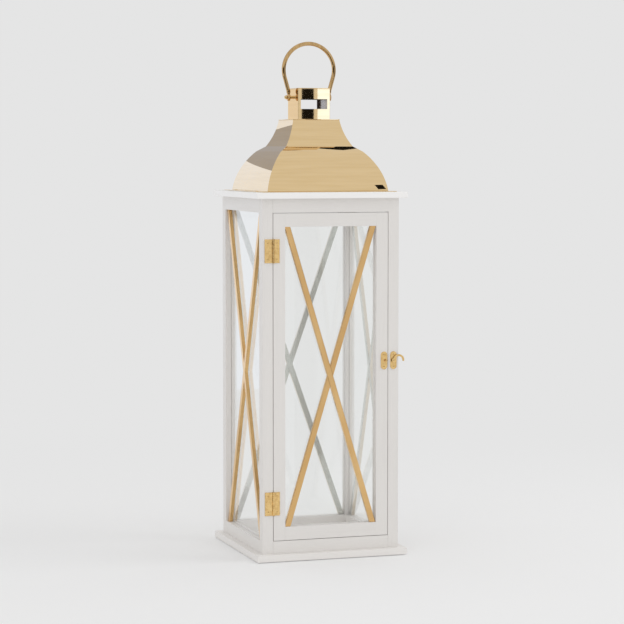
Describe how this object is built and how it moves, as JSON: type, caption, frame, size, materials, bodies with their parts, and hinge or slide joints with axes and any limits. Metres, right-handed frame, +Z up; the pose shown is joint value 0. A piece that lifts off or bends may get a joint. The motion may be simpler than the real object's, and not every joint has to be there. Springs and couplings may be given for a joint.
{
  "type": "candle lantern",
  "caption": "Tall square glazed timber lantern with crossed brass strips, a hinged door, an ogee metal roof, a slotted chimney and a swinging bail handle.",
  "frame": {"origin": "on the ground under the middle of the case, at the underside of the foot pads", "axes": "+Z up, door towards -Y, hinges towards -X and latch towards +X"},
  "size_m": [0.216, 0.216, 0.7102],
  "materials": {
    "white_timber": "white paint, satin, faint grain",
    "felt": "pressed felt",
    "screw_steel": "zinc plated",
    "clear_glass": "clear",
    "gold_sheet": "mirror polished",
    "gold_rod": "polished",
    "strip_brass": "satin, fine drawn lines",
    "small_brass": "satin, pressed"
  },
  "bodies": {
    "lantern": {"base_board": "white_timber", "foot_pads": "felt", "base_screws": "screw_steel", "post_front_left": "white_timber", "post_front_right": "white_timber", "post_back_left": "white_timber", "post_back_right": "white_timber", "bottom_rail_front": "white_timber", "bottom_rail_right": "white_timber", "bottom_rail_back": "white_timber", "bottom_rail_left": "white_timber", "top_rail_front": "white_timber", "top_rail_right": "white_timber", "top_rail_back": "white_timber", "top_rail_left": "white_timber", "top_board": "white_timber", "top_screws": "screw_steel", "glass_right": "clear_glass", "glass_back": "clear_glass", "glass_left": "clear_glass", "strip_right_outer": "strip_brass", "strip_right_inner": "strip_brass", "strip_back_outer": "strip_brass", "strip_back_inner": "strip_brass", "strip_left_outer": "strip_brass", "strip_left_inner": "strip_brass", "roof_flange": "gold_sheet", "roof_screws": "small_brass", "roof_bell": "gold_sheet", "roof_cap_plate": "gold_sheet", "chimney_tube": "gold_sheet", "chimney_lid": "gold_sheet", "handle_pins": "gold_rod", "hinge_upper_post_leaf": "small_brass", "hinge_upper_pin": "small_brass", "hinge_lower_post_leaf": "small_brass", "hinge_lower_pin": "small_brass", "hinge_post_screws": "small_brass", "latch_post_plate": "small_brass", "latch_post_screws": "small_brass", "latch_pivot": "small_brass"},
    "door": {"door_stile_hinge": "white_timber", "door_stile_latch": "white_timber", "door_rail_bottom": "white_timber", "door_rail_top": "white_timber", "door_glass": "clear_glass", "door_strip_outer": "strip_brass", "door_strip_inner": "strip_brass", "hinge_upper_door_leaf": "small_brass", "hinge_lower_door_leaf": "small_brass", "hinge_door_screws": "small_brass", "latch_door_plate": "small_brass", "latch_door_screws": "small_brass", "latch_stud": "small_brass"},
    "hook": {"latch_hook": "small_brass"},
    "handle": {"handle_bail": "gold_rod"}
  },
  "joints": [
    {"name": "door_swing", "type": "hinge", "parent": "lantern", "child": "door", "pos_m": [-0.08265, -0.0996, 0.25145], "axis": [0, 0, -1], "range_deg": [0, 175]},
    {"name": "hook_swing", "type": "hinge", "parent": "lantern", "child": "hook", "pos_m": [0.0905, -0.10035, 0.27075], "axis": [0, 1, 0], "range_deg": [-90, 180]},
    {"name": "handle_swing", "type": "hinge", "parent": "lantern", "child": "handle", "pos_m": [0, 0, 0.6328], "axis": [1, 0, 0], "range_deg": [-124, 124]}
  ]
}
